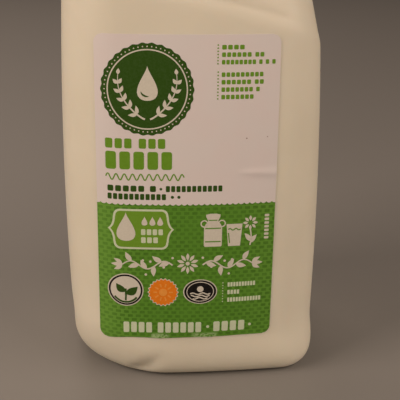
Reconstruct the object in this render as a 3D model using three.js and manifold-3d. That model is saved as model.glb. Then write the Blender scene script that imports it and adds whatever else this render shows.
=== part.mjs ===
// Half-gallon plastic milk jug: a blow-moulded body with a corner handle, its front label and its cap.
// Millimetres, +Z up. The origin lies under the middle of the footprint and the label faces -Y.
import * as THREE from 'three';
import { mergeVertices } from 'three/addons/utils/BufferGeometryUtils.js';
import Module from 'manifold-3d';

const wasm = await Module();
wasm.setup();

// Side panels: each is a shallow crown between its two upright edges
const panelReach = 51.9; // from the axis out to a panel's upright edges
const panelHalf = 40.9; // half of a panel's width, over which the crown is measured
const crownLow = 4.65; // crown at the label's foot
const crownHigh = 3.15; // crown at the label's head
const panelArch = 1.3; // how far a panel leans in at the label's foot and head
const baseReach = 56.2; // from the axis out to the straight walls above the heel
const baseCrown = 0.78;
const baseFade = 30; // height over which the straight base turns into the crowned panel

// Upright corners, by compass: the parting plane runs through the left front and the right rear ones
const cornerRadius = 13;
const cornerBaseRadius = 19; // the corners are rounder at the floor
const handleCornerRadius = 12;
const partingRadius = 18;
const partingBaseRadius = 42.4; // the left front corner is the roundest there
const cornerFade = 27; // height over which they change

// Heel, between the walls and the floor
const heelInset = 12.1;
const heelHeight = 17.7;
const raisedInset = 4; // the heel is deeper where the parting plane meets it
const raisedHeight = 2;
const raisedSpread = 31.9;

// Underside
const standWidth = 5; // flat ring that the jug stands on
const pushUp = 3.8;
const pushUpRun = 10;
const pushUpFlat = 0.4; // share of the underside, out from its middle, that is level

// Shoulder: its lower edge is a ridge that falls towards the handle's corner
const ridgeHeight = 150.6; // on the axis's own level
const ridgeFall = 0.253; // fall for each millimetre of x or y
const ridgeRadius = 4;
const shoulderTop = 229;
const shoulderLean = 0.34; // how steeply the shoulder leaves the neck, as a share of its mean fall
const shoulderBend = 2.7;
const shoulderSine = 0.36; // eases the ridge's rounding to the shoulder's steepness

// Finger recess at the right rear corner
const recessReach = 22.5; // from the axis to the recess's back wall
const recessCurve = 120; // radius of the back wall, seen from above
const recessFloor = 130; // where the sloping floor would meet the back wall
const recessFall = 0.34; // fall of the floor for each millimetre outwards
const recessFillet = 20;
const recessEdge = 8;

// Handle: an oval tube in the parting plane, given by distance from the axis and height
const handleRoute = [
  [4, 207],
  [22, 205],
  [38.5, 199],
  [51.9, 186.5],
  [56.1, 169],
  [56.3, 148],
  [56.3, 128],
  [54.5, 113],
  [47, 100],
];
const handleDepth = 18.5;
const handleWidth = 25;
const handleSteps = 26;
const handleSides = 14;
const handleFlare = 0.5; // how much wider the tube grows where it joins the body
const footFlareTop = 136; // height below which it widens, and over what height
const footFlareRun = 30;
const headFlareReach = 34; // distance from the axis within which it widens, and over what length
const headFlareRun = 24;

// Neck and cap
const neckRadius = 17.6;
const neckSunk = 20; // how far the neck's foot reaches down into the body
// The fillet from shoulder to neck: millimetres beyond the neck's radius, and above the shoulder's top
const neckFillet = [[4.2, -7], [3, -3.4], [1, -0.4], [0.2, 2]];
const beadRadius = 19.3;
const beadHeight = 235; // of the bead's top
const beadWidth = 1.6;
const beadSlope = 1; // height of the slopes above and below it
const neckTop = 252.5;
const neckChamfer = 1;
const capRadius = 20.6;
const capFoot = 238;
const capTop = 255;
const capWall = 2.2;
const capTopThickness = 1.8;
const bandHeight = 3.6;
const bandGroove = 0.5; // depth of the groove over the band
const grooveSlope = 0.3;
const grooveFloor = 0.4;
// The rounding of the cap's upper edge: millimetres in from its radius, and down from its top
const capRounding = [[0.2, 1.6], [0.7, 0.5], [1.9, 0]];
const rimWidth = 5;
const rimSlope = 0.6;
const rimStep = 0.5; // how far the cap's middle lies below its rim
const gap = 0.3; // between separate pieces

// Label
const labelWidth = 72.2;
const labelHeight = 127.6;
const labelCorner = 3.5;
const labelCentre = -4.5;
const labelFoot = 22.1;
const labelTurn = THREE.MathUtils.degToRad(1); // clockwise, seen from the front
const labelThickness = 0.4;
const labelColumns = 14;
const labelRows = 22;

// Resolution
const columns = 64;
const wallRings = 34;
const cornerBunching = 0.11; // pulls the columns towards the upright corners
const profileSamples = 300;
const lowShare = 0.1; // share of the samples, from the floor up, that crowd towards the floor
const lowest = 0.005; // just above the floor, where the walls can still be told from it
const turnWeight = 22; // millimetres of profile that one radian of bend counts for
const neckSides = 48;
const sliver = 0.05; // edges that a union leaves shorter than this are closed up

const clamp = (t) => Math.min(1, Math.max(0, t));
const smooth = (t) => clamp(t) ** 2 * (3 - 2 * clamp(t));
const mix = (a, b, t) => a + (b - a) * t;

// Two walls that meet in a corner of radius r: negative inside, zero on the surface.
function roundCorner(u, v, r) {
  return Math.min(-r, Math.max(u, v)) + Math.hypot(Math.max(u + r, 0), Math.max(v + r, 0));
}

// Distance from the four upright walls at one height.
function wall(x, y, z) {
  const up = Math.min(1.4, Math.max(-0.15, (z - labelFoot) / labelHeight));
  const body = smooth(z / baseFade);
  const crown = mix(baseCrown, mix(crownLow, crownHigh, up), body);
  const reach = mix(baseReach, panelReach + crown - panelArch * (2 * up - 1) ** 2, body);
  const bend = panelHalf ** 2 / (2 * crown);
  const side = Math.hypot(Math.abs(x) + bend - reach, y) - bend;
  const face = Math.hypot(Math.abs(y) + bend - reach, x) - bend;
  const higher = smooth(z / cornerFade);
  const parting = mix(partingBaseRadius, partingRadius, higher);
  const plain = mix(cornerBaseRadius, cornerRadius, higher);
  const matching = x > 0 && y > 0 ? handleCornerRadius : plain;
  return roundCorner(side, face, x < 0 && y < 0 ? parting : matching);
}

// The walls with their heel rounded into the floor.
function heel(x, y, z) {
  const raised = Math.exp(-(((x - y) / raisedSpread) ** 2));
  const inset = heelInset + raisedInset * raised;
  const height = heelHeight + raisedHeight * raised;
  return roundCorner(wall(x, y, z), (-z * inset) / height, inset);
}

function solveOutwards(inside, near, far) {
  let low = near;
  let high = far;
  for (let i = 0; i < 40; i += 1) {
    const middle = (low + high) / 2;
    if (inside(middle)) low = middle;
    else high = middle;
  }
  return low;
}

// The recess, as a back wall that runs into a sloping floor: positive where it takes material away.
function recess(x, y, z) {
  const out = (x + y) * Math.SQRT1_2;
  const across = (x - y) ** 2 / 2;
  const back = out - recessReach - across / (2 * recessCurve);
  const floor = (z - recessFloor + recessFall * (out - recessReach)) / Math.hypot(1, recessFall);
  return -roundCorner(-back, -floor, recessFillet);
}

// Distance from the axis to the body's surface in one direction, at one height.
// The edge is the walls' own reach in that direction.
function bodyRadius(angle, z, edge) {
  const cos = Math.cos(angle);
  const sin = Math.sin(angle);
  const ridge = ridgeHeight - ridgeFall * edge * (cos + sin);
  return solveOutwards((r) => {
    const x = r * cos;
    const y = r * sin;
    const out = clamp((r - neckRadius) / (edge - neckRadius));
    const fall = shoulderLean * out + (1 - shoulderLean) * out ** shoulderBend;
    const shoulder = shoulderTop - (shoulderTop - ridge) * fall;
    const outer = roundCorner(heel(x, y, z), (z - shoulder) * shoulderSine, ridgeRadius);
    return roundCorner(outer, recess(x, y, z), recessEdge) < 0;
  }, 1, 90);
}

// One upright profile of the body, from the floor to the neck, with its points bunched where it bends.
function bodyProfile(angle) {
  const edge = solveOutwards((r) => wall(r * Math.cos(angle), r * Math.sin(angle), ridgeHeight) < 0, 1, 90);
  const fine = [];
  for (let i = 0; i <= profileSamples; i += 1) {
    const t = i / profileSamples;
    const z = mix(0, shoulderTop - 1, t < lowShare ? (t * t) / lowShare : t);
    fine.push(new THREE.Vector2(bodyRadius(angle, Math.max(z, lowest), edge), z));
  }
  const weights = [0];
  for (let i = 1; i < fine.length; i += 1) {
    const step = fine[i].clone().sub(fine[i - 1]);
    const next = i + 1 < fine.length ? fine[i + 1].clone().sub(fine[i]) : step;
    const turn = Math.abs(Math.atan2(step.cross(next), step.dot(next)));
    weights.push(weights[i - 1] + step.length() + turnWeight * turn);
  }
  const profile = [];
  let at = 1;
  for (let ring = 0; ring < wallRings; ring += 1) {
    const wanted = (weights[profileSamples] * ring) / (wallRings - 1);
    while (at < profileSamples && weights[at] < wanted) at += 1;
    const t = clamp((wanted - weights[at - 1]) / (weights[at] - weights[at - 1]));
    profile.push(fine[at - 1].clone().lerp(fine[at], t));
  }
  return profile;
}

// The underside's profile, from the middle out to the heel.
function baseProfile(heelRadius) {
  const inner = heelRadius - standWidth;
  return [
    new THREE.Vector2(0, pushUp),
    new THREE.Vector2(inner * pushUpFlat, pushUp),
    new THREE.Vector2(inner - pushUpRun, pushUp * 0.95),
    new THREE.Vector2(inner - pushUpRun / 2, pushUp * 0.5),
    new THREE.Vector2(inner, 0),
  ];
}

// Merges vertices that lie within the tolerance and drops the triangles that this leaves without area.
function weld(geometry, tolerance = 1e-4) {
  const bare = geometry.clone();
  bare.deleteAttribute('normal');
  bare.deleteAttribute('uv');
  const merged = mergeVertices(bare, tolerance);
  const kept = [];
  for (let i = 0; i < merged.index.count; i += 3) {
    const [a, b, c] = [0, 1, 2].map((k) => merged.index.getX(i + k));
    if (a !== b && b !== c && c !== a) kept.push(a, b, c);
  }
  merged.setIndex(kept);
  return merged;
}

function toManifold(geometry) {
  const closed = weld(geometry);
  const vertProperties = new Float32Array(closed.attributes.position.array);
  const triVerts = new Uint32Array(closed.index.array);
  return new wasm.Manifold(new wasm.Mesh({ numProp: 3, vertProperties, triVerts }));
}

function toGeometry(manifold) {
  const mesh = manifold.getMesh();
  const geometry = new THREE.BufferGeometry();
  geometry.setAttribute('position', new THREE.BufferAttribute(new Float32Array(mesh.vertProperties), 3));
  geometry.setIndex(Array.from(mesh.triVerts));
  return weld(geometry, sliver);
}

// A lathe spun about +Z from points of (radius, height).
function spin(points, sides) {
  const geometry = new THREE.LatheGeometry(points.map(([r, z]) => new THREE.Vector2(r, z)), sides);
  return geometry.rotateX(Math.PI / 2);
}

// The body starts as a plain lathe, and each of its columns then takes its own profile.
function makeBody() {
  const baseCount = baseProfile(0).length;
  const count = baseCount + wallRings + 1;
  const plain = Array.from({ length: count }, (_, i) => [1, i]);
  const geometry = spin(plain, columns);
  const place = geometry.attributes.position;
  for (let column = 0; column <= columns; column += 1) {
    const even = ((column % columns) * 2 * Math.PI) / columns;
    const angle = even + cornerBunching * Math.sin(4 * even);
    const side = bodyProfile(angle);
    const profile = [...baseProfile(side[0].x), ...side, new THREE.Vector2(0, shoulderTop)];
    profile.forEach((p, j) => {
      place.setXYZ(column * count + j, p.x * Math.cos(angle), p.x * Math.sin(angle), p.y);
    });
  }
  return geometry;
}

function makeHandle() {
  const diagonal = Math.SQRT1_2;
  const points = handleRoute.map(([out, z]) => new THREE.Vector3(out * diagonal, out * diagonal, z));
  const route = new THREE.CatmullRomCurve3(points);
  const oval = new THREE.Shape();
  oval.absellipse(0, 0, handleDepth / 2, handleWidth / 2, 0, 2 * Math.PI);
  const geometry = new THREE.ExtrudeGeometry(new THREE.Shape(oval.getPoints(handleSides / 2)), {
    steps: handleSteps,
    extrudePath: route,
    curveSegments: handleSides,
  });
  const place = geometry.attributes.position;
  for (let i = 0; i < place.count; i += 1) {
    const x = place.getX(i);
    const y = place.getY(i);
    const foot = smooth((footFlareTop - place.getZ(i)) / footFlareRun);
    const head = smooth((headFlareReach - (x + y) * diagonal) / headFlareRun);
    const widen = (handleFlare * Math.max(foot, head) * (x - y)) / 2;
    place.setXY(i, x + widen, y - widen);
  }
  return geometry;
}

function makeNeck() {
  return spin([
    [0, shoulderTop - neckSunk],
    [neckRadius, shoulderTop - neckSunk],
    ...neckFillet.map(([out, up]) => [neckRadius + out, shoulderTop + up]),
    [neckRadius, beadHeight - beadWidth - beadSlope],
    [beadRadius, beadHeight - beadWidth],
    [beadRadius, beadHeight],
    [neckRadius, beadHeight + beadSlope],
    [neckRadius, neckTop - neckChamfer],
    [neckRadius - neckChamfer, neckTop],
    [0, neckTop],
  ], neckSides);
}

function makeCap() {
  const bore = capRadius - capWall;
  const groove = capFoot + bandHeight;
  const rim = capRadius - rimWidth;
  return spin([
    [bore, capFoot],
    [capRadius, capFoot],
    [capRadius, groove],
    [capRadius - bandGroove, groove + grooveSlope],
    [capRadius - bandGroove, groove + grooveSlope + grooveFloor],
    [capRadius, groove + 2 * grooveSlope + grooveFloor],
    ...capRounding.map(([inwards, down]) => [capRadius - inwards, capTop - down]),
    [rim, capTop],
    [rim - rimSlope, capTop - rimStep],
    [0, capTop - rimStep],
    [0, capTop - capTopThickness],
    [bore, capTop - capTopThickness],
    [bore, capFoot],
  ], columns);
}

// Where the front panel's surface lies, for one point of the label.
function frontFace(x, z) {
  return -solveOutwards((out) => wall(x, -out, z) < 0, 10, 90);
}

// A thin slab with round corners, bent over the front panel.
function makeLabel() {
  const geometry = new THREE.BoxGeometry(2, 1, 2, labelColumns, 1, labelRows);
  const place = geometry.attributes.position;
  const straight = labelHeight / 2 - labelCorner;
  for (let i = 0; i < place.count; i += 1) {
    const up = (labelHeight / 2) * Math.sin((place.getZ(i) * Math.PI) / 2);
    const past = Math.max(0, Math.abs(up) - straight);
    const half = labelWidth / 2 - labelCorner + Math.sqrt(Math.max(0, labelCorner ** 2 - past ** 2));
    const along = place.getX(i) * half;
    const x = labelCentre + along * Math.cos(labelTurn) + up * Math.sin(labelTurn);
    const z = labelFoot + labelHeight / 2 - along * Math.sin(labelTurn) + up * Math.cos(labelTurn);
    const proud = place.getY(i) < 0 ? gap + labelThickness : gap;
    place.setXYZ(i, x, frontFace(x, z) - proud, z);
  }
  return geometry;
}

const milkyPlastic = new THREE.MeshStandardMaterial({ color: 0xece4d3, roughness: 0.42, metalness: 0 });
const labelFilm = new THREE.MeshStandardMaterial({ color: 0x87a553, roughness: 0.5, metalness: 0 });
const capPlastic = new THREE.MeshStandardMaterial({ color: 0x4f7f2c, roughness: 0.4, metalness: 0 });

function piece(name, geometry, material) {
  const mesh = new THREE.Mesh(geometry, material);
  mesh.name = name;
  return mesh;
}

const jug = toManifold(makeBody()).add(toManifold(makeHandle())).add(toManifold(makeNeck()));

const milkJug = new THREE.Group();
milkJug.add(piece('jug', toGeometry(jug), milkyPlastic));
milkJug.add(piece('label', weld(makeLabel()), labelFilm));
milkJug.add(piece('cap', weld(makeCap()), capPlastic));

export default milkJug;
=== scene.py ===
"""Half-gallon plastic milk jug: the moulded jug, its printed front label and its screw cap."""
import math

import bpy
import numpy as np
from bpy.props import FloatProperty, FloatVectorProperty, IntProperty, PointerProperty
from mathutils import Matrix, Vector


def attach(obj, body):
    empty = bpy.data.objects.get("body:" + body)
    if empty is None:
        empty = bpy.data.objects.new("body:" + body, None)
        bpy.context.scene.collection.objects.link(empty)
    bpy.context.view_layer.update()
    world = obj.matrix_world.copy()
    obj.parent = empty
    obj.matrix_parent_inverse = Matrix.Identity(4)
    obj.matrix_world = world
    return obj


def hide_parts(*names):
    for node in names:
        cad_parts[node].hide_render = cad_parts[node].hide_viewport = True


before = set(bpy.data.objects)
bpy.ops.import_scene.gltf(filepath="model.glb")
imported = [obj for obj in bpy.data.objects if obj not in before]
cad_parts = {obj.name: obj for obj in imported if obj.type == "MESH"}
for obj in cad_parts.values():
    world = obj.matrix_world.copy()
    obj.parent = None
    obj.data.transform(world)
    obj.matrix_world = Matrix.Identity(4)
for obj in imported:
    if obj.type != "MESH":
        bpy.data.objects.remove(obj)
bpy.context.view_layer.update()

bl_info = {
    "name": "Plastic Milk Jug",
    "version": (1, 0, 0),
    "blender": (4, 5, 0),
    "location": "3D View > Sidebar > Milk Jug",
    "description": "Builds a plastic milk jug with its printed label and its screw cap",
    "category": "Add Mesh",
}

MM = 0.001

# The jug's form, in millimetres. It repeats the named values of the solid that it stands for,
# apart from the ridge's radius, which is sharper here.
PANEL_REACH = 51.9
PANEL_HALF = 40.9
CROWN_LOW = 4.65
CROWN_HIGH = 3.15
PANEL_ARCH = 1.3
BASE_REACH = 56.2
BASE_CROWN = 0.78
BASE_FADE = 30
CORNER_RADIUS = 13
CORNER_BASE_RADIUS = 19
HANDLE_CORNER_RADIUS = 12
PARTING_RADIUS = 18
PARTING_BASE_RADIUS = 42.4
PARTING_FADE = 27
HEEL_INSET = 12.1
HEEL_HEIGHT = 17.7
RAISED_INSET = 4
RAISED_HEIGHT = 2
RAISED_SPREAD = 31.9
STAND_WIDTH = 5
PUSH_UP = 3.8
PUSH_UP_RUN = 10
RIDGE_HEIGHT = 150.6
RIDGE_FALL = 0.253
RIDGE_RADIUS = 1.4
SHOULDER_TOP = 229
SHOULDER_LEAN = 0.34
SHOULDER_BEND = 2.7
SHOULDER_SINE = 0.36
RECESS_REACH = 22.5
RECESS_CURVE = 120
RECESS_FLOOR = 130
RECESS_FALL = 0.34
RECESS_FILLET = 20
RECESS_EDGE = 8
HANDLE_ROUTE = [
    (4, 207), (22, 205), (38.5, 199), (51.9, 186.5), (56.1, 169),
    (56.3, 148), (56.3, 128), (54.5, 113), (47, 100),
]
HANDLE_DEPTH = 18.5
HANDLE_WIDTH = 25
HANDLE_FLARE = 0.5
FOOT_FLARE_TOP = 136
FOOT_FLARE_RUN = 30
HEAD_FLARE_REACH = 34
HEAD_FLARE_RUN = 24
NECK_RADIUS = 17.6
NECK_TOP = 252.5
LABEL_WIDTH = 72.2
LABEL_HEIGHT = 127.6
LABEL_CORNER = 3.5
LABEL_CENTRE = -4.5
LABEL_FOOT = 22.1
LABEL_TURN = math.radians(1)

# How these forms are joined here: the fillets' radii, and how far down the neck reaches
HANDLE_FILLET, NECK_FILLET, NECK_FOOT = 7, 6, 205
# Steps for each stretch of the handle's route
HANDLE_STEPS = 40
# The corners between which the jug's surface is looked for
BODY_LOW, BODY_HIGH = (-60.1, -60.1, -3.1), (60.1, 60.1, 256.0)

# Small forms that the solid leaves out, in millimetres

# The crease over the front of the heel: its place, its direction in x and z, its depth and width
CREASE_X, CREASE_Z = -25.2, 4.5
CREASE_RUN, CREASE_RISE = 0.74, 0.673
CREASE_DEPTH, CREASE_WIDTH = 1.3, 3.6
# How far the panel leans back at the shoulder's lower edge, and its reach below and above
EDGE_LEAN, EDGE_BELOW, EDGE_ABOVE = 1.05, 6.5, 24
# Where that lean ends towards the handle, as x + y, and over what length
EDGE_END, EDGE_END_RUN = 22, 12
# The label's wrinkle: where it starts along and up, its slant, its lift and its growing width
WRINKLE_ALONG, WRINKLE_UP, WRINKLE_SLANT = 20, 72.9, -0.04
WRINKLE_LIFT, WRINKLE_WIDTH, WRINKLE_GROWTH = 0.34, 0.8, 0.065
# Bubbles along the label's foot: along, width and lift
FOOT_BUBBLES = ((-11.5, 2.4, 0.22), (9.8, 2.6, 0.176))
# The foot of the film isn't cut quite straight: along, width and sag
FOOT_SAGS = ((-9, 6, 0.3), (24, 7, -0.18))
FOOT_CORNER_SAG = 2.0
# The parting line's bead on the handle's side: its section as (across, proud), and its ends
PARTING_SECTION = ((-0.55, -0.25), (-0.2, 0.11), (0.2, 0.11), (0.55, -0.25))
PARTING_LOW, PARTING_HIGH = 4.0, 228.0

# The ring under the cap, and the cap, as closed outlines of (radius, height) in millimetres. The
# solid has both too, with plainer edges.
NECK_RING = [
    (17.2, 232.4), (18.0, 232.6), (19.0, 233.1), (19.3, 233.6), (19.35, 234.3),
    (19.2, 235.0), (18.2, 235.6), (17.2, 236.0),
]
CAP_PROFILE = [
    (18.6, 238.0), (20.2, 238.0), (20.5, 238.2), (20.6, 238.6), (20.6, 241.2), (20.5, 241.5),
    (20.0, 241.7), (20.0, 242.4), (20.4, 242.6), (20.5, 242.9),
    (20.52, 243.6), (20.52, 244.2), (20.5, 252.2), (20.46, 252.8),
    (20.3, 253.6), (19.95, 254.3), (19.4, 254.75), (18.7, 254.98),
    (15.7, 255.0), (15.2, 254.85), (14.9, 254.5), (14.6, 254.4),
    (0.03, 254.4), (0.03, 253.2), (18.4, 253.2),
]
# Heights between which the cap has its ribs, and the length over which they fade out
RIBS_LOW, RIBS_HIGH, RIBS_FADE = 243.4, 252.9, 0.8

# The label's surface, in millimetres of the flat label: rows of dashes in the green field
DASH_ROW, DASH_ROW_START = 1.77, 0.45
DASH_PITCH, DASH_START = 3.3, -0.2
# Specks of dirt on the white field: along, up and size
SPECKS = ((23.4, 86.9, 0.42), (31.8, 87.3, 0.31))
# Scuffed ink along the foot: along, and half its length where it is full and where it ends
SCUFFS = ((-11.0, 2.6, 4.6), (8.0, 3.6, 6.4))
# How far the film's rows crowd towards its head and foot, from 0 to 1
ROW_CROWDING = 0.35
# Largest step between a print shape's points, so that it follows the label's bend
PRINT_SPACING = 1.3
INKS = ("dark", "mid", "pale", "cream", "straw", "field", "orange", "amber", "black")
# Over this height the wall is slightly clearer
FILLING_LINE = 213.0

# The stage, in metres. Soft boxes: place and width
LIGHTS = {
    "key": ((-1.05, -0.45, 0.7), 0.7),
    "fill": ((1.0, -0.68, 0.75), 1.1),
    "back": ((-0.4, 1.4, 1.0), 0.8),
    "front": ((0.1, -1.35, 1.1), 0.5),
}
LIGHTS_AIM = (0, 0, 0.13)
FLOOR_HALF = 3.5
CAMERA_PLACE = (-0.030273, -0.395665, 0.202395)
CAMERA_AHEAD = (0.08535544, 0.94069881, -0.32832941)
CAMERA_RIGHT = (0.99580994, -0.09139828, -0.00298619)
SENSOR_WIDTH = 36.0
FOCAL_PIXELS, PHOTO_PIXELS = 900, 400


def smooth(t):
    t = np.clip(t, 0, 1)
    return t * t * (3 - 2 * t)


def mix(a, b, t):
    return a + (b - a) * t


def round_corner(u, v, radius):
    """Two walls that meet in a rounded corner: negative inside both, zero on the surface."""
    return np.minimum(-radius, np.maximum(u, v)) + np.hypot(
        np.maximum(u + radius, 0), np.maximum(v + radius, 0)
    )


def fillet(u, v, radius):
    """Two forms joined with a fillet between them."""
    return -round_corner(-u, -v, radius)


def wall(x, y, z):
    """Distance from the four upright walls."""
    up = np.clip((z - LABEL_FOOT) / LABEL_HEIGHT, -0.15, 1.4)
    body = smooth(z / BASE_FADE)
    crown = mix(BASE_CROWN, mix(CROWN_LOW, CROWN_HIGH, up), body)
    reach = mix(BASE_REACH, PANEL_REACH + crown - PANEL_ARCH * (2 * up - 1) ** 2, body)
    bend = PANEL_HALF**2 / (2 * crown)
    side = np.hypot(np.abs(x) + bend - reach, y) - bend
    face = np.hypot(np.abs(y) + bend - reach, x) - bend
    parting = mix(PARTING_BASE_RADIUS, PARTING_RADIUS, smooth(z / PARTING_FADE))
    plain = mix(CORNER_BASE_RADIUS, CORNER_RADIUS, smooth(z / PARTING_FADE))
    corner = np.where((x > 0) & (y > 0), HANDLE_CORNER_RADIUS, plain)
    return round_corner(side, face, np.where((x < 0) & (y < 0), parting, corner))


def heel_inset(x, y):
    raised = np.exp(-(((x - y) / RAISED_SPREAD) ** 2))
    return HEEL_INSET + RAISED_INSET * raised, HEEL_HEIGHT + RAISED_HEIGHT * raised


def solve_outwards(inside, shape, near=1.0, far=90.0):
    """The distance at which something stops being inside, found by halving."""
    low = np.full(shape, near)
    high = np.full(shape, far)
    for _ in range(36):
        middle = (low + high) / 2
        within = inside(middle)
        low = np.where(within, middle, low)
        high = np.where(within, high, middle)
    return low


EDGE_ANGLES = np.linspace(-math.pi, math.pi, 1441)
EDGE_REACH = solve_outwards(
    lambda r: wall(r * np.cos(EDGE_ANGLES), r * np.sin(EDGE_ANGLES), RIDGE_HEIGHT) < 0,
    EDGE_ANGLES.shape,
)


def shoulder(x, y):
    """Height of the shoulder's surface over one point of the plan."""
    angle = np.arctan2(y, x)
    edge = np.interp(angle, EDGE_ANGLES, EDGE_REACH)
    ridge = RIDGE_HEIGHT - RIDGE_FALL * edge * (np.cos(angle) + np.sin(angle))
    out = np.clip((np.hypot(x, y) - NECK_RADIUS) / (edge - NECK_RADIUS), 0, 1)
    fall = SHOULDER_LEAN * out + (1 - SHOULDER_LEAN) * out**SHOULDER_BEND
    return SHOULDER_TOP - (SHOULDER_TOP - ridge) * fall


def recess(x, y, z):
    out = (x + y) * math.sqrt(0.5)
    back = out - RECESS_REACH - (x - y) ** 2 / 2 / (2 * RECESS_CURVE)
    floor = (z - RECESS_FLOOR + RECESS_FALL * (out - RECESS_REACH)) / math.hypot(1, RECESS_FALL)
    return -round_corner(-back, -floor, RECESS_FILLET)


def handle_line():
    """Points and directions along the handle's route, as (distance from the axis, height)."""
    knots = [Vector(k) for k in HANDLE_ROUTE]
    knots = [2 * knots[0] - knots[1], *knots, 2 * knots[-1] - knots[-2]]
    points = []
    for a, b, c, d in zip(knots, knots[1:], knots[2:], knots[3:]):
        for i in range(HANDLE_STEPS):
            t = i / HANDLE_STEPS
            points.append(
                0.5 * (2 * b + (c - a) * t + (2 * a - 5 * b + 4 * c - d) * t**2
                       + (3 * b - a - 3 * c + d) * t**3)
            )
    line = np.array(points)
    ahead = np.gradient(line, axis=0)
    return line, ahead / np.linalg.norm(ahead, axis=1)[:, None]


HANDLE_LINE, HANDLE_AHEAD = handle_line()


def handle(x, y, z):
    """Distance from the handle's oval tube, found from the nearest point of its route."""
    out = (x + y) * math.sqrt(0.5)
    across = (x - y) * math.sqrt(0.5)
    away = np.empty_like(out)
    batch = 20000
    for start in range(0, out.size, batch):
        part = slice(start, start + batch)
        du = out[part, None] - HANDLE_LINE[None, :, 0]
        dz = z[part, None] - HANDLE_LINE[None, :, 1]
        near = np.argmin(du * du + dz * dz, axis=1)
        rows = np.arange(near.size)
        away[part] = (
            du[rows, near] * -HANDLE_AHEAD[near, 1] + dz[rows, near] * HANDLE_AHEAD[near, 0]
        )
    foot = smooth((FOOT_FLARE_TOP - z) / FOOT_FLARE_RUN)
    head = smooth((HEAD_FLARE_REACH - out) / HEAD_FLARE_RUN)
    half = HANDLE_WIDTH / 2 * (1 + HANDLE_FLARE * np.maximum(foot, head))
    share = np.hypot(away / (HANDLE_DEPTH / 2), across / half)
    slope = np.hypot(away / (HANDLE_DEPTH / 2) ** 2, across / half**2) / np.maximum(share, 1e-6)
    return (share - 1) / np.maximum(slope, 1 / HANDLE_WIDTH)


def underside(x, y):
    """Height of the underside over the floor: a flat ring, and a middle that is pushed up."""
    inset, _ = heel_inset(x, y)
    within = -(wall(x, y, np.zeros_like(x)) + inset + STAND_WIDTH)
    return PUSH_UP * smooth(within / PUSH_UP_RUN)


def heel_dent(x, y, z):
    """Depth of the crease that runs up from the floor over the front of the heel."""
    along = (x - CREASE_X) * CREASE_RUN + (z - CREASE_Z) * CREASE_RISE
    across = (z - CREASE_Z) * CREASE_RUN - (x - CREASE_X) * CREASE_RISE
    fade = smooth((along + 5) / 5) * smooth((z - 0.8) / 5) * (1 - smooth((along - 4) / 12))
    return CREASE_DEPTH * np.exp(-((across / CREASE_WIDTH) ** 2)) * fade * (y < -35)


def panel_edge(x, y, z):
    """How far the panel rounds back towards the shoulder's lower edge, and the shoulder with it."""
    over = z - (RIDGE_HEIGHT + 0.5 - RIDGE_FALL * (x + y))
    below = np.clip(over / EDGE_BELOW + 1, 0, 1) ** 2
    back = np.where(over < 0, below, 1 - smooth(over / EDGE_ABOVE))
    return EDGE_LEAN * back * (1 - smooth((x + y - EDGE_END) / EDGE_END_RUN))


def jug_field(points):
    """Negative inside the jug, zero on its surface, for rows of (x, y, z) in millimetres."""
    x, y, z = points.T
    inset, height = heel_inset(x, y)
    sides = round_corner(wall(x, y, z), -z * inset / height, inset) + heel_dent(x, y, z)
    outer = round_corner(sides, (z - shoulder(x, y)) * SHOULDER_SINE, RIDGE_RADIUS)
    outer = outer + panel_edge(x, y, z)
    form = round_corner(outer, recess(x, y, z), RECESS_EDGE)
    # The handle is only worked out in its own corner
    near = ((x + y) > 8) & (np.abs(x - y) < 40) & (z > 86) & (z < 224)
    tube = handle(x[near], y[near], z[near])
    form[near] = fillet(form[near], tube, HANDLE_FILLET)
    neck = np.maximum(np.hypot(x, y) - NECK_RADIUS, np.maximum(z - NECK_TOP, NECK_FOOT - z))
    form = fillet(form, neck, NECK_FILLET)
    return np.maximum(form, underside(x, y) - z)


def slope_of(field, points, step=0.02):
    """The field's gradient, from small steps both ways."""
    columns = []
    for axis in range(3):
        shift = np.zeros(3)
        shift[axis] = step
        columns.append((field(points + shift) - field(points - shift)) / (2 * step))
    return np.stack(columns, axis=1)


def skin(field, low, high, cell):
    """A mesh of even quads over the field's zero surface, one vertex for each cell it crosses."""
    counts = [math.ceil((b - a) / cell) + 1 for a, b in zip(low, high)]
    axes = [a + cell * np.arange(n) for a, n in zip(low, counts)]
    grid = np.stack(np.meshgrid(*axes, indexing="ij"), axis=-1).reshape(-1, 3)
    value = field(grid).reshape(counts)
    cells = tuple(n - 1 for n in counts)
    total = np.zeros((*cells, 3))
    crossings = np.zeros(cells)
    rings = []
    for axis in range(3):
        near = tuple(slice(0, n - (k == axis)) for k, n in enumerate(counts))
        far = tuple(slice(int(k == axis), n) for k, n in enumerate(counts))
        crossed = (value[near] < 0) != (value[far] < 0)
        a, b = value[near][crossed], value[far][crossed]
        where = np.argwhere(crossed)
        place = where.astype(float)
        place[:, axis] += a / (a - b)
        # The four cells about each crossed edge
        ring = []
        for i, j in ((1, 1), (0, 1), (0, 0), (1, 0)):
            at = where.copy()
            at[:, (axis + 1) % 3] -= i
            at[:, (axis + 2) % 3] -= j
            ring.append(tuple(at.T))
            np.add.at(total, ring[-1], place)
            np.add.at(crossings, ring[-1], 1)
        rings.append((ring, a < 0))
    used = crossings > 0
    number = np.full(cells, -1)
    number[used] = np.arange(np.count_nonzero(used))
    vertices = np.array(low) + cell * (total[used] / crossings[used][:, None])
    faces = []
    for ring, leaving in rings:
        quads = np.stack([number[at] for at in ring], axis=1)
        quads[~leaving] = quads[~leaving][:, ::-1]
        faces.append(quads)
    return vertices, np.concatenate(faces)


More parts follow.
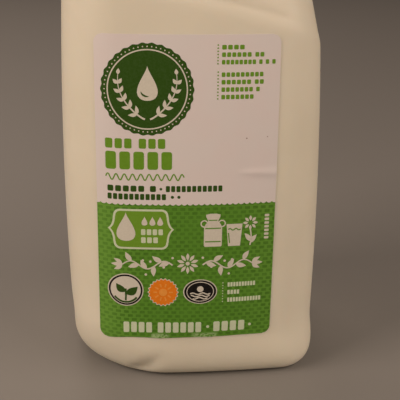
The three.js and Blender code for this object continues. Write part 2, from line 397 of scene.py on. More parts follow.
def settle(field, vertices, faces, rounds=4):
    """Evens out a mesh's spacing along the surface and brings each vertex onto it."""
    ends = np.concatenate([faces[:, [0, 1]], faces[:, [1, 2]], faces[:, [2, 3]], faces[:, [3, 0]]])
    for turn in range(rounds):
        total = np.zeros_like(vertices)
        count = np.zeros(len(vertices))
        for a, b in ((0, 1), (1, 0)):
            np.add.at(total, ends[:, a], vertices[ends[:, b]])
            np.add.at(count, ends[:, a], 1)
        if turn < rounds - 1:
            vertices = mix(vertices, total / count[:, None], 0.6)
        slope = slope_of(field, vertices)
        steep = np.maximum(np.sum(slope * slope, axis=1), 0.02)
        vertices = vertices - slope * np.clip(field(vertices) / steep, -1.5, 1.5)[:, None]
    return vertices


def mesh_object(name, vertices, faces, look, sharp=None):
    """A smooth mesh object from millimetre vertices, its edges sharp from an angle in degrees."""
    mesh = bpy.data.meshes.new(name)
    faces = faces.tolist() if isinstance(faces, np.ndarray) else faces
    mesh.from_pydata((np.asarray(vertices) * MM).tolist(), [], faces)
    mesh.validate()
    mesh.shade_smooth()
    if sharp is not None:
        mesh.set_sharp_from_angle(angle=math.radians(sharp))
    mesh.materials.append(look)
    made = bpy.data.objects.new(name, mesh)
    bpy.context.scene.collection.objects.link(made)
    return made


def parting_path(low, high, step=1.2):
    """The handle side's outermost points in the parting plane, as (from the axis, height)."""
    heights = np.arange(low, high, 0.25)
    reach = np.arange(90.0, 10.0, -0.5)

    def inside(out, up):
        place = math.sqrt(0.5) * out
        return jug_field(np.stack([place, place, up], axis=1)) < 0

    out, up = [grid.ravel() for grid in np.meshgrid(reach, heights)]
    first = np.argmax(inside(out, up).reshape(len(heights), len(reach)), axis=1)
    near = reach[first]
    far = near + 0.5
    for _ in range(12):
        middle = (near + far) / 2
        within = inside(middle, heights)
        near = np.where(within, middle, near)
        far = np.where(within, far, middle)
    path = [np.array([near[0], heights[0]])]
    for point in np.stack([near, heights], axis=1):
        if np.linalg.norm(point - path[-1]) >= step:
            path.append(point)
    return np.array(path)


def parting_bead(low, high):
    """A low bead along the handle's parting line, as a closed tube of four-sided rings."""
    path = parting_path(low, high)
    ahead = np.gradient(path, axis=0)
    ahead = ahead / np.linalg.norm(ahead, axis=1)[:, None]
    away = np.stack([ahead[:, 1], -ahead[:, 0]], axis=1)
    rings = []
    for across, proud in PARTING_SECTION:
        out, up = (path + away * proud).T
        middle = math.sqrt(0.5) * out
        shift = across * math.sqrt(0.5)
        rings.append(np.stack([middle + shift, middle - shift, up], axis=1))
    vertices = np.stack(rings, axis=1).reshape(-1, 3)
    faces = []
    for i in range(len(path) - 1):
        for j in range(4):
            a, b = 4 * i + j, 4 * i + (j + 1) % 4
            faces.append([a, b, b + 4, a + 4])
    last = len(vertices) - 4
    return vertices, faces + [[3, 2, 1, 0], [last, last + 1, last + 2, last + 3]]


def front_reach(x, z):
    """How far the front panel stands out at one x and z."""
    return solve_outwards(lambda out: wall(x, -out, z) < 0, np.shape(x), 10.0, 90.0)


def label_lift(along, up):
    """How far the film lifts off the jug: one long wrinkle, and bubbles along its foot."""
    past = along - WRINKLE_ALONG
    spread = WRINKLE_WIDTH + WRINKLE_GROWTH * np.maximum(past, 0)
    fold = np.exp(-(((up - WRINKLE_UP - WRINKLE_SLANT * past) / spread) ** 2))
    lift = WRINKLE_LIFT * fold * smooth((past + 2) / 9)
    for centre, width, height in FOOT_BUBBLES:
        bubble = np.exp(-(((along - centre) / width) ** 2)) * np.exp(-((up / 1.5) ** 2))
        lift = lift + height * bubble
    return lift


def on_label(along, up, proud):
    """Rows of (x, y, z) for places on the label: along from its middle, and up from its foot."""
    proud = proud + label_lift(along, up)
    sag = sum(
        depth * np.exp(-(((along - centre) / width) ** 2)) for centre, width, depth in FOOT_SAGS
    )
    corner = FOOT_CORNER_SAG * smooth((-22 - along) / 14) * np.maximum(0, 1 - up / 12)
    rise = up - sag * np.maximum(0, 1 - up / 1.6) - corner - LABEL_HEIGHT / 2
    x = LABEL_CENTRE + along * math.cos(LABEL_TURN) + rise * math.sin(LABEL_TURN)
    z = LABEL_FOOT + LABEL_HEIGHT / 2 - along * math.sin(LABEL_TURN) + rise * math.cos(LABEL_TURN)
    return np.stack([x, -front_reach(x, z) - proud, z], axis=-1)


def label_sheet(settings):
    """The film as a closed sheet with round corners, its rows closer near its head and foot."""
    columns = round(LABEL_WIDTH * MM / settings.cell)
    rows = round(LABEL_HEIGHT * MM / settings.cell)
    even = np.linspace(-1, 1, rows + 1)
    up = LABEL_HEIGHT / 2 * mix(even, np.sin(even * math.pi / 2), ROW_CROWDING)
    past = np.maximum(0, np.abs(up) - (LABEL_HEIGHT / 2 - LABEL_CORNER))
    half = LABEL_WIDTH / 2 - LABEL_CORNER + np.sqrt(np.maximum(0, LABEL_CORNER**2 - past**2))
    along = np.linspace(-1, 1, columns + 1)[:, None] * half[None, :]
    height = np.broadcast_to(up[None, :] + LABEL_HEIGHT / 2, along.shape)
    back = on_label(along, height, settings.back / MM).reshape(-1, 3)
    front = on_label(along, height, (settings.back + settings.thickness) / MM).reshape(-1, 3)
    number = np.arange(len(back)).reshape(along.shape)
    a, b = number[:-1, :-1].ravel(), number[1:, :-1].ravel()
    c, d = number[1:, 1:].ravel(), number[:-1, 1:].ravel()
    rim = np.concatenate([number[:, 0], number[-1, 1:], number[-2::-1, -1], number[0, -2:0:-1]])
    after = np.roll(rim, -1)
    faces = [
        np.stack([a, b, c, d], axis=1) + len(back),
        np.stack([a, d, c, b], axis=1),
        np.stack([rim, after, after + len(back), rim + len(back)], axis=1),
    ]
    return np.concatenate([back, front]), np.concatenate(faces)


def lathe(profile, sides, relief=None):
    """Quads from a closed profile of (radius, height) spun about the axis."""
    count = len(profile)
    angle = 2 * math.pi * np.arange(sides) / sides
    radius = np.array([p[0] for p in profile])[None, :]
    height = np.broadcast_to(np.array([p[1] for p in profile])[None, :], (sides, count))
    if relief is not None:
        radius = radius + relief(angle[:, None], height)
    radius = np.broadcast_to(radius, (sides, count))
    vertices = np.stack(
        [radius * np.cos(angle)[:, None], radius * np.sin(angle)[:, None], height], axis=-1
    ).reshape(-1, 3)
    i, j = np.meshgrid(np.arange(sides), np.arange(count), indexing="ij")
    a = i * count + j
    b = (i + 1) % sides * count + j
    c = (i + 1) % sides * count + (j + 1) % count
    d = i * count + (j + 1) % count
    return vertices, np.stack([a, b, c, d], axis=-1).reshape(-1, 4)


# Print shapes: outlines in label millimetres, along from the middle and up from the foot

def polar(centre, reach, sides):
    """An outline whose distance from its centre is reach, a number or a function of the angle."""
    angle = 2 * math.pi * np.arange(sides) / sides
    radius = reach(angle) if callable(reach) else np.full(sides, float(reach))
    x, y = centre
    return np.stack([x + radius * np.cos(angle), y + radius * np.sin(angle)], axis=1)


def turned(outline, angle, centre):
    """An outline made about the origin, then turned and moved to its centre."""
    cos, sin = math.cos(angle), math.sin(angle)
    x, y = np.asarray(outline, float).T
    return np.stack([centre[0] + x * cos - y * sin, centre[1] + x * sin + y * cos], axis=1)


def block(left, foot, width, height, corner=0.4, steps=3):
    """A rectangle with round corners."""
    corner = min(corner, width / 2.01, height / 2.01)
    turn = np.linspace(0, math.pi / 2, steps + 1)
    points = []
    for k, (x, y) in enumerate(((1, 1), (0, 1), (0, 0), (1, 0))):
        cx = left + (width - corner if x else corner)
        cy = foot + (height - corner if y else corner)
        for t in turn + k * math.pi / 2:
            points.append((cx + corner * math.cos(t), cy + corner * math.sin(t)))
    return np.array(points)


def leaf(length, width, bend=0.0, steps=12, fullness=0.8):
    """A pointed leaf from the origin along +x, its middle line bent sideways."""
    t = np.linspace(0, 1, steps + 1)
    half = width / 2 * np.sin(math.pi * t**fullness)
    middle = bend * np.sin(math.pi * t)
    lower = np.stack([length * t, middle - half], axis=1)
    upper = np.stack([length * t, middle + half], axis=1)[-2:0:-1]
    return np.concatenate([lower, upper])


def drop(length, width, steps=28):
    """A drop about the origin, its point upwards."""
    t = 2 * math.pi * np.arange(steps) / steps
    return np.stack([
        width / 2 * np.cos(t) * (1 - (0.5 + 0.5 * np.sin(t)) ** 1.6),
        length * (0.5 + 0.5 * np.sin(t)) ** 1.15 - length * 0.36,
    ], axis=1) * np.array([1.22, 1.0])


def finer(line, closed):
    """The same line with points added, so that it can follow the label's bend."""
    line = np.asarray(line, float)
    ends = np.roll(line, -1, axis=0) if closed else line[1:]
    points = []
    for a, b in zip(line, ends):
        count = max(1, math.ceil(np.linalg.norm(b - a) / PRINT_SPACING))
        points.extend(mix(a, b, k / count) for k in range(count))
    if not closed:
        points.append(line[-1])
    return np.array(points)


class Ink:
    """The shapes of one ink, gathered flat before they are raised on the label."""

    def __init__(self):
        self.points = []
        self.layers = []
        self.faces = []

    def add(self, points, layer, faces):
        start = sum(len(p) for p in self.points)
        self.points.append(np.asarray(points, float))
        self.layers.append(np.full(len(points), float(layer)))
        self.faces.extend([[start + i for i in face] for face in faces])

    def patch(self, outline, layer=1):
        """A filled shape whose centre sees all of its outline, as rings about the centre."""
        outline = finer(outline, True)
        centre = (outline.min(axis=0) + outline.max(axis=0)) / 2
        count = len(outline)
        rings = max(1, math.ceil(np.linalg.norm(outline - centre, axis=1).max() / PRINT_SPACING))
        points = np.concatenate([
            mix(centre, outline, ring / rings) for ring in range(rings, 0, -1)
        ] + [centre[None, :]])
        faces = []
        for i in range(count):
            j = (i + 1) % count
            for ring in range(rings - 1):
                outer, inner = ring * count, (ring + 1) * count
                faces.append([outer + i, outer + j, inner + j, inner + i])
            last = (rings - 1) * count
            faces.append([last + i, last + j, rings * count])
        self.add(points, layer, faces)

    def stroke(self, line, width, layer=1, closed=False):
        """A band along a line, its width one number or one for each point."""
        line = np.asarray(line, float)
        if np.ndim(width) == 0:
            line = finer(line, closed)
        if closed:
            ahead = np.roll(line, -1, axis=0) - np.roll(line, 1, axis=0)
        else:
            ahead = np.gradient(line, axis=0)
        side = np.stack([-ahead[:, 1], ahead[:, 0]], axis=1)
        side = side / np.linalg.norm(side, axis=1)[:, None] * np.reshape(width, (-1, 1)) / 2
        count = len(line)
        points = np.concatenate([line - side, line + side])
        faces = []
        for i in range(count if closed else count - 1):
            j = (i + 1) % count
            faces.append([i, j, count + j, count + i])
        self.add(points, layer, faces)

    def words(self, left, right, foot, height, groups, layer=1, step=0.32):
        """A row of plain, equal blocks in groups, fitted to the width."""
        space = 1.0
        total = sum(groups) + step * (sum(groups) - len(groups)) + space * (len(groups) - 1)
        unit = (right - left) / total
        at = left
        for count in groups:
            for i in range(count):
                self.patch(block(at, foot, unit, height, min(unit, height) * 0.22), layer)
                at += unit * (1 + (step if i < count - 1 else space))

    def dots(self, points, size, layer=1, sides=10):
        for point in points:
            self.patch(polar(point, size / 2, sides), layer)

    def build(self, name, settings, look):
        """Raises the shapes on the label as thin closed plates, joined in one object."""
        points = np.concatenate(self.points)
        layers = np.concatenate(self.layers)
        base = (settings.back + settings.thickness) / MM
        step = settings.ink / MM
        top = on_label(points[:, 0], points[:, 1], base + layers * step)
        foot = on_label(points[:, 0], points[:, 1], base + (layers - 1.3) * step)
        count = len(points)
        edges = {
            edge: None for face in self.faces for edge in zip(face, face[1:] + face[:1])
        }
        faces = list(self.faces) + [[i + count for i in reversed(face)] for face in self.faces]
        for a, b in edges:
            if (b, a) not in edges:
                faces.append([b, a, a + count, b + count])
        made = mesh_object(name, np.concatenate([top, foot]), faces, look, 40)
        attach(made, "root")
        return made


def medallion(ink):
    """A scalloped dark round with a dotted ring, a drop and two sprays of leaves."""
    centre = (-15.75, 106.43)
    ink["dark"].patch(polar(centre, lambda a: 17.9 + 0.25 * np.cos(30 * a), 180), 1)
    ink["cream"].stroke(polar(centre, 15.4, 96), 0.5, 2, closed=True)
    ink["cream"].dots(polar(centre, 16.6, 60), 0.55, 2, 8)
    x, y = centre
    ink["cream"].patch(turned(drop(13.5, 8.4), 0, (x, y + 0.6)), 2)
    gleam = polar((x, y + 0.1), 2.7, 40)[22:32]
    ink["dark"].stroke(gleam, 0.75 * np.sin(np.linspace(0.25, math.pi - 0.25, len(gleam))), 3)
    for side in (-1, 1):
        t = np.linspace(0, 1, 19)
        out = 1.0 + 10.4 * np.sin(t * 1.75)
        bow = np.stack([x + side * out, y - 11.6 + 17.5 * t**1.25], axis=1)
        ink["cream"].stroke(bow, 0.62 * (1.15 - 0.75 * t), 2)
        for k in range(3, 19, 3):
            ahead = bow[min(k + 1, 18)] - bow[k - 1]
            angle = math.atan2(ahead[1], ahead[0])
            size = 3.9 - 0.09 * k
            for lean in (-0.75, 0.75) if k < 18 else (0.0,):
                blade = leaf(size, 1.45, 0.15 * lean)
                ink["cream"].patch(turned(blade, angle + lean, bow[k]), 2)


def upper_words(ink):
    """The lines of print on the white field."""
    mid = ink["mid"]
    for foot, right, groups in (
        (121.9, 21.6, (4,)), (119.05, 29.4, (6, 2)), (116.2, 34.0, (8, 1, 1, 1)),
        (111.4, 29.3, (9,)), (108.5, 29.5, (6, 2)), (105.6, 28.0, (7, 1)), (102.7, 25.6, (7,)),
    ):
        mid.words(12.9, right, foot, 1.75, groups)
    for along, low, high, count in ((11.35, 116.5, 123.6, 7), (11.5, 102.9, 113.3, 9)):
        mid.dots([(along, mix(low, high, k / (count - 1))) for k in range(count)], 0.62)
    mid.words(-32.4, -8.9, 83.1, 4.0, (3, 3))
    mid.words(-32.4, -6.2, 74.5, 7.3, (5,))
    t = np.linspace(0, 1, 170)
    wave = np.stack([-32.4 + 31.0 * t, 71.35 + 1.25 * np.sin(2 * math.pi * 9.5 * t)], axis=1)
    mid.stroke(wave, 0.5)
    dark = ink["dark"]
    dark.words(-31.8, -12.6, 65.3, 2.5, (5, 1))
    dark.dots([(-10.6, 66.5)], 1.1)
    dark.words(-8.6, 14.0, 65.3, 2.5, (11,))
    dark.words(-31.8, -8.6, 61.9, 2.5, (11,))
    dark.dots([(-6.0, 63.1), (-3.4, 63.1)], 1.3)


def bracket(centre, width, height, corner=2.6, point=2.3):
    """A plaque's outline: round corners, and a point in the middle of each upright side."""
    half, tall = width / 2 - point, height / 2
    turn = np.linspace(math.pi / 2, 0, 7)
    top = np.stack([np.cos(turn), np.sin(turn)], axis=1) * corner + [half - corner, tall - corner]
    side = np.linspace(tall - corner, 0, 12, endpoint=False)[1:]
    edge = np.stack([half + point * np.exp(-side / 1.9), side], axis=1)
    quarter = np.concatenate([top, edge])
    right_half = np.concatenate([quarter, [[half + point, 0.0]], (quarter * [1, -1])[::-1]])
    left_half = (right_half * [-1, 1])[::-1]
    return (np.concatenate([right_half, left_half]) + centre)[::-1]


def plaque(ink):
    """A pale green plaque with a cream edge, holding a drop and lines of blocks."""
    centre = np.array([-18.65, 49.25])
    ink["straw"].patch(bracket(centre, 26.7, 17.3), 1)
    ink["pale"].patch(bracket(centre, 24.7, 15.6, 2.0, 2.15), 2)
    ink["cream"].patch(turned(drop(12.4, 8.0), 0, (-24.7, 48.6)), 3)
    for along in (-17.2, -14.0, -10.9):
        ink["cream"].patch(turned(drop(3.9, 2.5), 0, (along, 52.4)), 3)
    ink["straw"].words(-18.6, -9.8, 46.9, 2.5, (4,), 3)
    ink["straw"].words(-18.6, -11.8, 43.4, 2.5, (3,), 3)


def dairy(ink):
    """A churn and a glass of milk beside a daisy, as plain silhouettes."""
    cream, field = ink["cream"], ink["field"]
    churn = [(-3.3, 0), (3.3, 0), (3.7, 0.5), (3.7, 8.2), (3.2, 9.6), (2.2, 10.8), (2.0, 11.6),
             (2.0, 12.6), (2.9, 13.0), (2.9, 13.9), (1.2, 14.3), (-1.2, 14.3), (-2.9, 13.9),
             (-2.9, 13.0), (-2.0, 12.6), (-2.0, 11.6), (-2.2, 10.8), (-3.2, 9.6), (-3.7, 8.2),
             (-3.7, 0.5)]
    cream.patch(np.array(churn) + [10.6, 41.6], 1)
    for height in (2.2, 8.0):
        field.stroke([(7.4, 41.6 + height), (13.8, 41.6 + height)], 0.5, 2)
    field.stroke([(8.9, 53.1), (12.3, 53.1)], 0.4, 2)
    for side in (-1, 1):
        grip = polar((10.6 + side * 3.6, 51.6), 1.35, 16)
        cream.stroke(grip, 0.5, 1, closed=True)
    glass = [(-2.5, 0), (2.5, 0), (3.3, 9.6), (-3.3, 9.6)]
    cream.patch(np.array(glass) + [19.4, 41.6], 1)
    wave = np.linspace(-2.55, 2.55, 15)
    field.stroke(np.stack([19.4 + wave, 48.9 + 0.35 * np.sin(2.5 * wave)], axis=1), 0.5, 2)
    field.stroke([(17.5, 43.0), (16.95, 47.4)], 0.42, 2)
    flower(cream, (26.0, 51.4), 3.1, 8)
    field.dots([(26.0, 51.4)], 1.6, 2, 14)
    stem = np.stack([26.0 + 0.5 * np.sin(np.linspace(0, 3, 9)), np.linspace(48.6, 41.6, 9)], axis=1)
    cream.stroke(stem, 0.55)
    cream.patch(turned(leaf(4.3, 1.9, 0.2), 0.95, (26.3, 42.6)), 1)
    cream.patch(turned(leaf(4.3, 1.9, -0.2), math.pi - 0.95, (26.2, 43.4)), 1)
    for k in range(7):
        cream.patch(block(31.9, 44.0 + 1.62 * k, 1.9, 1.05, 0.3), 1)


def flower(ink, centre, size, petals):
    """Round petals about a small open middle."""
    for k in range(petals):
        angle = 2 * math.pi * k / petals + math.pi / 2
        root = np.array(centre) + size * 0.3 * np.array([math.cos(angle), math.sin(angle)])
        petal = leaf(size * 0.72, size * 1.9 / petals * 1.55, 0, 8, 1.0)
        ink.patch(turned(petal, angle, root))


def garland(ink):
    """A wavy stem each way from a daisy, with leaves on both sides and a tulip at its end."""
    cream = ink["cream"]
    middle = (0.4, 34.3)
    flower(cream, middle, 4.5, 10)
    cream.dots([middle], 1.7, 1, 14)
    for side in (-1, 1):
        t = np.linspace(0, 1, 61)
        out = 6.2 + 20.6 * t
        height = 33.6 + 1.7 * np.sin(2 * math.pi * 1.5 * t)
        line = np.stack([middle[0] + side * out, height], axis=1)
        cream.stroke(line, 0.62 - 0.15 * t)
        for k in range(4, 58, 9):
            ahead = line[k + 1] - line[k - 1]
            angle = math.atan2(ahead[1], ahead[0])
            lean = 0.9 if (k // 9) % 2 else -0.9
            cream.patch(turned(leaf(4.6, 2.1, 0.25 * lean), angle + side * lean, line[k]), 1)
            across = np.array([-math.sin(angle), math.cos(angle)]) * (-side if lean > 0 else side)
            cream.dots([line[k] + 2.6 * across], 1.05, 1, 12)
        end = line[-1]
        for lean in (-0.62, 0.0, 0.62):
            size = 4.2 if lean else 4.6
            petal = leaf(size, 1.75, 0.5 * lean, 10)
            cream.patch(turned(petal, lean + (0 if side > 0 else math.pi), end), 1)


def seals(ink):
    """Three plain seals: a round with a sprout, a sunburst, and an oval with hills and a sun."""
    cream, dark, black = ink["cream"], ink["dark"], ink["black"]
    x, y = -25.12, 22.12
    cream.patch(polar((x, y), 7.39, 72), 1)
    black.stroke(polar((x, y), 6.6, 72), 0.72, 2, closed=True)
    dark.stroke([(x, y - 4.9), (x + 0.1, y - 2.5), (x, y + 0.6)], 0.75, 2)
    dark.patch(turned(leaf(6.0, 3.4, -0.5, 14), 0.62, (x + 0.1, y - 1.9)), 2)
    dark.patch(turned(leaf(5.2, 3.0, 0.5, 14), math.pi - 0.75, (x - 0.1, y - 0.9)), 2)
    dark.stroke(polar((x, y), 5.6, 60)[36:55], 0.8, 2)
    x, y = -9.65, 21.35
    for colour, size, layer in (("cream", 6.15, 1), ("orange", 5.75, 2)):
        burst = polar((x, y), lambda a: size * (1 + 0.05 * np.cos(22 * a)), 176)
        ink[colour].patch(burst, layer)
    ink["amber"].patch(polar((x, y), 1.7, 24), 3)
    for k in range(10):
        angle = 2 * math.pi * k / 10
        ray = [(x + r * math.cos(angle), y + r * math.sin(angle)) for r in (2.4, 4.0)]
        ink["amber"].stroke(ray, 0.62, 3)
    x, y = 5.75, 21.5
    oval = polar((0, 0), 1.0, 64) * [1.28, 1.0]
    cream.patch(5.55 * oval + [x, y], 1)
    black.patch(5.2 * oval + [x, y], 2)
    cream.stroke(4.35 * oval + [x, y], 0.3, 3, closed=True)
    cream.patch(polar((x, y + 1.2), 1.35, 24), 3)
    for k, reach in enumerate((4.2, 3.9, 3.1)):
        t = np.linspace(-reach, reach, 25)
        hill = y - 0.9 - 1.05 * k + 0.35 * np.sin(t * 1.5 + k)
        cream.stroke(np.stack([x + t, hill], axis=1), 0.5, 3)


def lower_words(ink):
    """The lines of print at the foot of the green field."""
    straw = ink["straw"]
    for foot, right, groups in ((23.3, 28.9, (10,)), (19.8, 22.2, (4,)), (16.3, 31.4, (12,))):
        straw.words(17.2, right, foot, 1.95, groups)
    straw.dots([(15.2, 16.6 + 1.22 * k) for k in range(8)], 0.5)
    straw.words(-26.2, 6.4, 2.4, 4.9, (4, 6))
    straw.words(11.6, 24.9, 2.6, 4.7, (4,))
    straw.dots([(9.2, 5.0), (27.2, 5.0)], 1.3)


# Shader building

class Flow:
    """A shader node's output. Arithmetic on it adds Math nodes."""

    def __init__(self, finish, socket):
        self.finish = finish
        self.socket = socket

    def maths(self, operation, *values):
        return self.finish.maths(operation, self, *values)

    def __add__(self, other):
        return self.finish.maths("ADD", self, other)

    __radd__ = __add__

    def __sub__(self, other):
        return self.finish.maths("SUBTRACT", self, other)

    def __rsub__(self, other):
        return self.finish.maths("SUBTRACT", other, self)

    def __mul__(self, other):
        return self.finish.maths("MULTIPLY", self, other)

    __rmul__ = __mul__

    def __truediv__(self, other):
        return self.finish.maths("DIVIDE", self, other)

    def __rtruediv__(self, other):
        return self.finish.maths("DIVIDE", other, self)

    def __pow__(self, other):
        return self.finish.maths("POWER", self, other)

    def __rpow__(self, other):
        return self.finish.maths("POWER", other, self)

    def clamp(self):
        return self.finish.maths("MINIMUM", self.finish.maths("MAXIMUM", self, 0.0), 1.0)


class Finish:
    """A material that is put together node by node."""

    def __init__(self, name):
        self.material = bpy.data.materials.new(name)
        self.material.use_nodes = True
        self.tree = self.material.node_tree
        self.tree.nodes.clear()

    def node(self, kind, settings=None, values=None, output=0):
        made = self.tree.nodes.new(kind)
        for key, value in (settings or {}).items():
            setattr(made, key, value)
        for key, value in (values or {}).items():
            if isinstance(value, Flow):
                self.tree.links.new(value.socket, made.inputs[key])
            else:
                made.inputs[key].default_value = value
        return Flow(self, made.outputs[output]) if len(made.outputs) else None

    def maths(self, operation, *values):
        return self.node("ShaderNodeMath", {"operation": operation}, dict(enumerate(values)))

    def between(self, value, low, high, out_low=0.0, out_high=1.0):
        """A smooth step of value from low to high."""
        limits = {"From Min": low, "From Max": high, "To Min": out_low, "To Max": out_high}
        return self.node(
            "ShaderNodeMapRange", {"interpolation_type": "SMOOTHSTEP"}, {"Value": value, **limits}
        )

    def colours(self, factor, first, second):
        return self.node(
            "ShaderNodeMix", {"data_type": "RGBA"}, {0: factor, 6: first, 7: second}, output=2
        )

    def axes(self):
        """The object's own coordinates in millimetres, as a vector and as its x, y and z."""
        place = self.node("ShaderNodeTexCoord", output=3)
        scaled = self.node(
            "ShaderNodeVectorMath", {"operation": "SCALE"}, {0: place, "Scale": 1 / MM}
        )
        split = self.node("ShaderNodeSeparateXYZ", None, {0: scaled})
        outputs = split.socket.node.outputs
        return scaled, [Flow(self, outputs[k]) for k in range(3)]

    def noise(self, vector, size, detail=2.0, roughness=0.5):
        """Noise with features of about size millimetres, for a vector in millimetres."""
        return self.node(
            "ShaderNodeTexNoise",
            {"noise_dimensions": "3D"},
            {"Vector": vector, "Scale": 1.0 / size, "Detail": detail, "Roughness": roughness},
        )

    def bump(self, height, distance, under=None):
        values = {"Height": height, "Distance": distance * MM, "Strength": 0.5}
        if under is not None:
            values["Normal"] = under
        return self.node("ShaderNodeBump", None, values)

    def surface(self, colour, roughness, normal=None, **constants):
        values = {"Base Color": colour, "Roughness": roughness}
        if normal is not None:
            values["Normal"] = normal
        for key, value in constants.items():
            values[key.replace("_", " ").title().replace("Ior", "IOR")] = value
        shader = self.node("ShaderNodeBsdfPrincipled", None, values)
        self.node("ShaderNodeOutputMaterial", None, {"Surface": shader})
        return self.material


def rgb(values):
    return (values[0], values[1], values[2], 1.0)


def milky_plastic(settings):
    """Satin, slightly milky plastic with a faint moulding ripple, cloudy in slow patches."""
    finish = Finish("milky_plastic")
    place, (_, _, z) = finish.axes()
    cloud = finish.noise(place, 38.0, 3.0)
    grain = finish.noise(place, 2.2, 3.0, 0.6)
    cloudy = finish.between(cloud, 0.35, 0.65)
    base = finish.colours(cloudy, rgb(settings.deep), rgb(settings.colour))
    headspace = finish.between(z + (cloud - 0.5) * 3.0, FILLING_LINE, FILLING_LINE + 3.0)
    base = finish.colours(headspace * 0.5, base, rgb(settings.empty))
    ripple = finish.noise(place, 16.0, 1.0)
    normal = finish.bump(ripple, 0.35)
    normal = finish.bump(grain, 0.03, normal)
    return finish.surface(
        base, finish.between(grain, 0.2, 0.8, settings.roughness - 0.05, settings.roughness + 0.06),
        normal, ior=1.5, subsurface_weight=0.25, subsurface_scale=0.004,
        subsurface_radius=(1.0, 0.8, 0.6),
    )


def label_film(settings):
    """The printed film: white above, green with rows of dashes below, scuffed at its foot."""
    finish = Finish("label_film")
    place, (x, _, z) = finish.axes()
    cos, sin = math.cos(LABEL_TURN), math.sin(LABEL_TURN)
    right = x - LABEL_CENTRE
    rise = z - (LABEL_FOOT + LABEL_HEIGHT / 2)
    along = right * cos - rise * sin
    up = right * sin + rise * cos + LABEL_HEIGHT / 2
    # A row of small scallops divides the white field from the green one
    tooth = (along / (settings.tooth_pitch / MM)).maths("FRACT") * 2 - 1
    line = tooth * tooth * (settings.tooth_height / MM) + (settings.green_top / MM - 0.4)
    white = finish.between(up - line, -0.06, 0.06)
    # Rows of darker dashes, laid like bricks
    row = (up - DASH_ROW_START) / DASH_ROW
    odd = row.maths("FLOOR").maths("PINGPONG", 1.0)
    cell = ((along - DASH_START) / DASH_PITCH + odd * 0.5).maths("FRACT") - 0.5
    level = row.maths("FRACT") - 0.5
    dash = (1 - finish.between(cell.maths("ABSOLUTE"), 0.28, 0.35)) * (
        1 - finish.between(level.maths("ABSOLUTE"), 0.26, 0.42)
    )
    patchy = finish.between(finish.noise(place, 6.0, 2.0), 0.3, 0.6, 0.6, 0.95)
    dash = dash * patchy * finish.between(along, -33.0, -24.0, 0.6, 1.0)
    # The green is brighter towards both sides
    bright = finish.between(along, -14.0, -38.0) + finish.between(along, 16.0, 38.0, 0.0, 0.45)
    green = finish.colours(bright, rgb(settings.green), rgb(settings.green_bright))
    green = finish.colours(dash, green, rgb(settings.green_dash))
    mottle = finish.noise(place, 1.3, 3.0, 0.6)
    pale = finish.between(mottle, 0.3, 0.75, 0.0, 0.22)
    green = finish.colours(pale, green, rgb(settings.green_pale))
    foot = 1 - finish.between(up, 1.0, 2.6)
    reach = 0.0
    for centre, full, end in SCUFFS:
        reach = reach + (1 - finish.between((along - centre).maths("ABSOLUTE"), full, end))
    rubbed = foot * reach * finish.between(finish.noise(place, 0.9, 2.0), 0.36, 0.56)
    green = finish.colours(rubbed.clamp(), green, rgb(settings.rubbed))
    rosy = finish.between(finish.noise(place, 14.0, 2.0), 0.35, 0.65)
    paper = finish.colours(rosy, rgb(settings.white), rgb(settings.white_rosy))
    for speck_along, speck_up, size in SPECKS:
        across, over = along - speck_along, up - speck_up
        away = (across * across + over * over) ** 0.5
        near = finish.between(away, size, size * 0.4, 0.0, 0.75)
        paper = finish.colours(near, paper, rgb(settings.speck))
    normal = finish.bump(finish.noise(place, 9.0, 1.0), 0.12)
    return finish.surface(
        finish.colours(white, green, paper), finish.between(mottle, 0.2, 0.8, 0.42, 0.52), normal,
        ior=1.46, specular_ior_level=0.3,
    )


def printed_ink(name, colour):
    """One ink, with the slight mottling of print on film."""
    finish = Finish(name)
    place, _ = finish.axes()
    mottle = finish.noise(place, 0.9, 3.0, 0.6)
    thin = tuple(min(1.0, v * 1.05 + 0.008) for v in colour)
    base = finish.colours(finish.between(mottle, 0.35, 0.7), rgb(colour), rgb(thin))
    normal = finish.bump(finish.noise(place, 9.0, 1.0), 0.12)
    return finish.surface(
        base, finish.between(mottle, 0.2, 0.8, 0.42, 0.52), normal,
        ior=1.46, specular_ior_level=0.22,
    )


def cap_plastic(settings):
    """Satin moulded plastic of one slow-changing green."""
    finish = Finish("cap_plastic")
    place, _ = finish.axes()
    cloud = finish.noise(place, 9.0, 3.0)
    grain = finish.noise(place, 0.7, 3.0, 0.6)
    cloudy = finish.between(cloud, 0.3, 0.7)
    colour = finish.colours(cloudy, rgb(settings.colour), rgb(settings.pale))
    normal = finish.bump(grain, 0.02)
    return finish.surface(
        colour, finish.between(grain, 0.2, 0.8, 0.34, 0.44), normal, ior=1.5,
        subsurface_weight=0.08, subsurface_scale=0.002,
    )


# What a user may change

def colour_choice(name, description, default):
    return FloatVectorProperty(
        name=name, description=description, subtype="COLOR", default=default, min=0, max=1
    )


def length_choice(name, description, default, precision=5):
    return FloatProperty(
        name=name, description=description, default=default, unit="LENGTH", precision=precision
    )


def power_choice(name, description, default):
    return FloatProperty(name=name, description=description, default=default, min=0)


class JugSettings(bpy.types.PropertyGroup):
    cell: length_choice("Cell", "Size of the mesh's quads", 0.0012)
    colour: colour_choice("Colour", "Base colour of the milky plastic", (0.855, 0.815, 0.675))
    deep: colour_choice("Deeper colour", "Colour of its cloudier places", (0.825, 0.785, 0.644))
    empty: colour_choice("Headspace colour", "Colour over the filling line", (0.80, 0.77, 0.68))
    roughness: FloatProperty(
        name="Roughness", description="Of the satin surface", default=0.42, min=0, max=1
    )


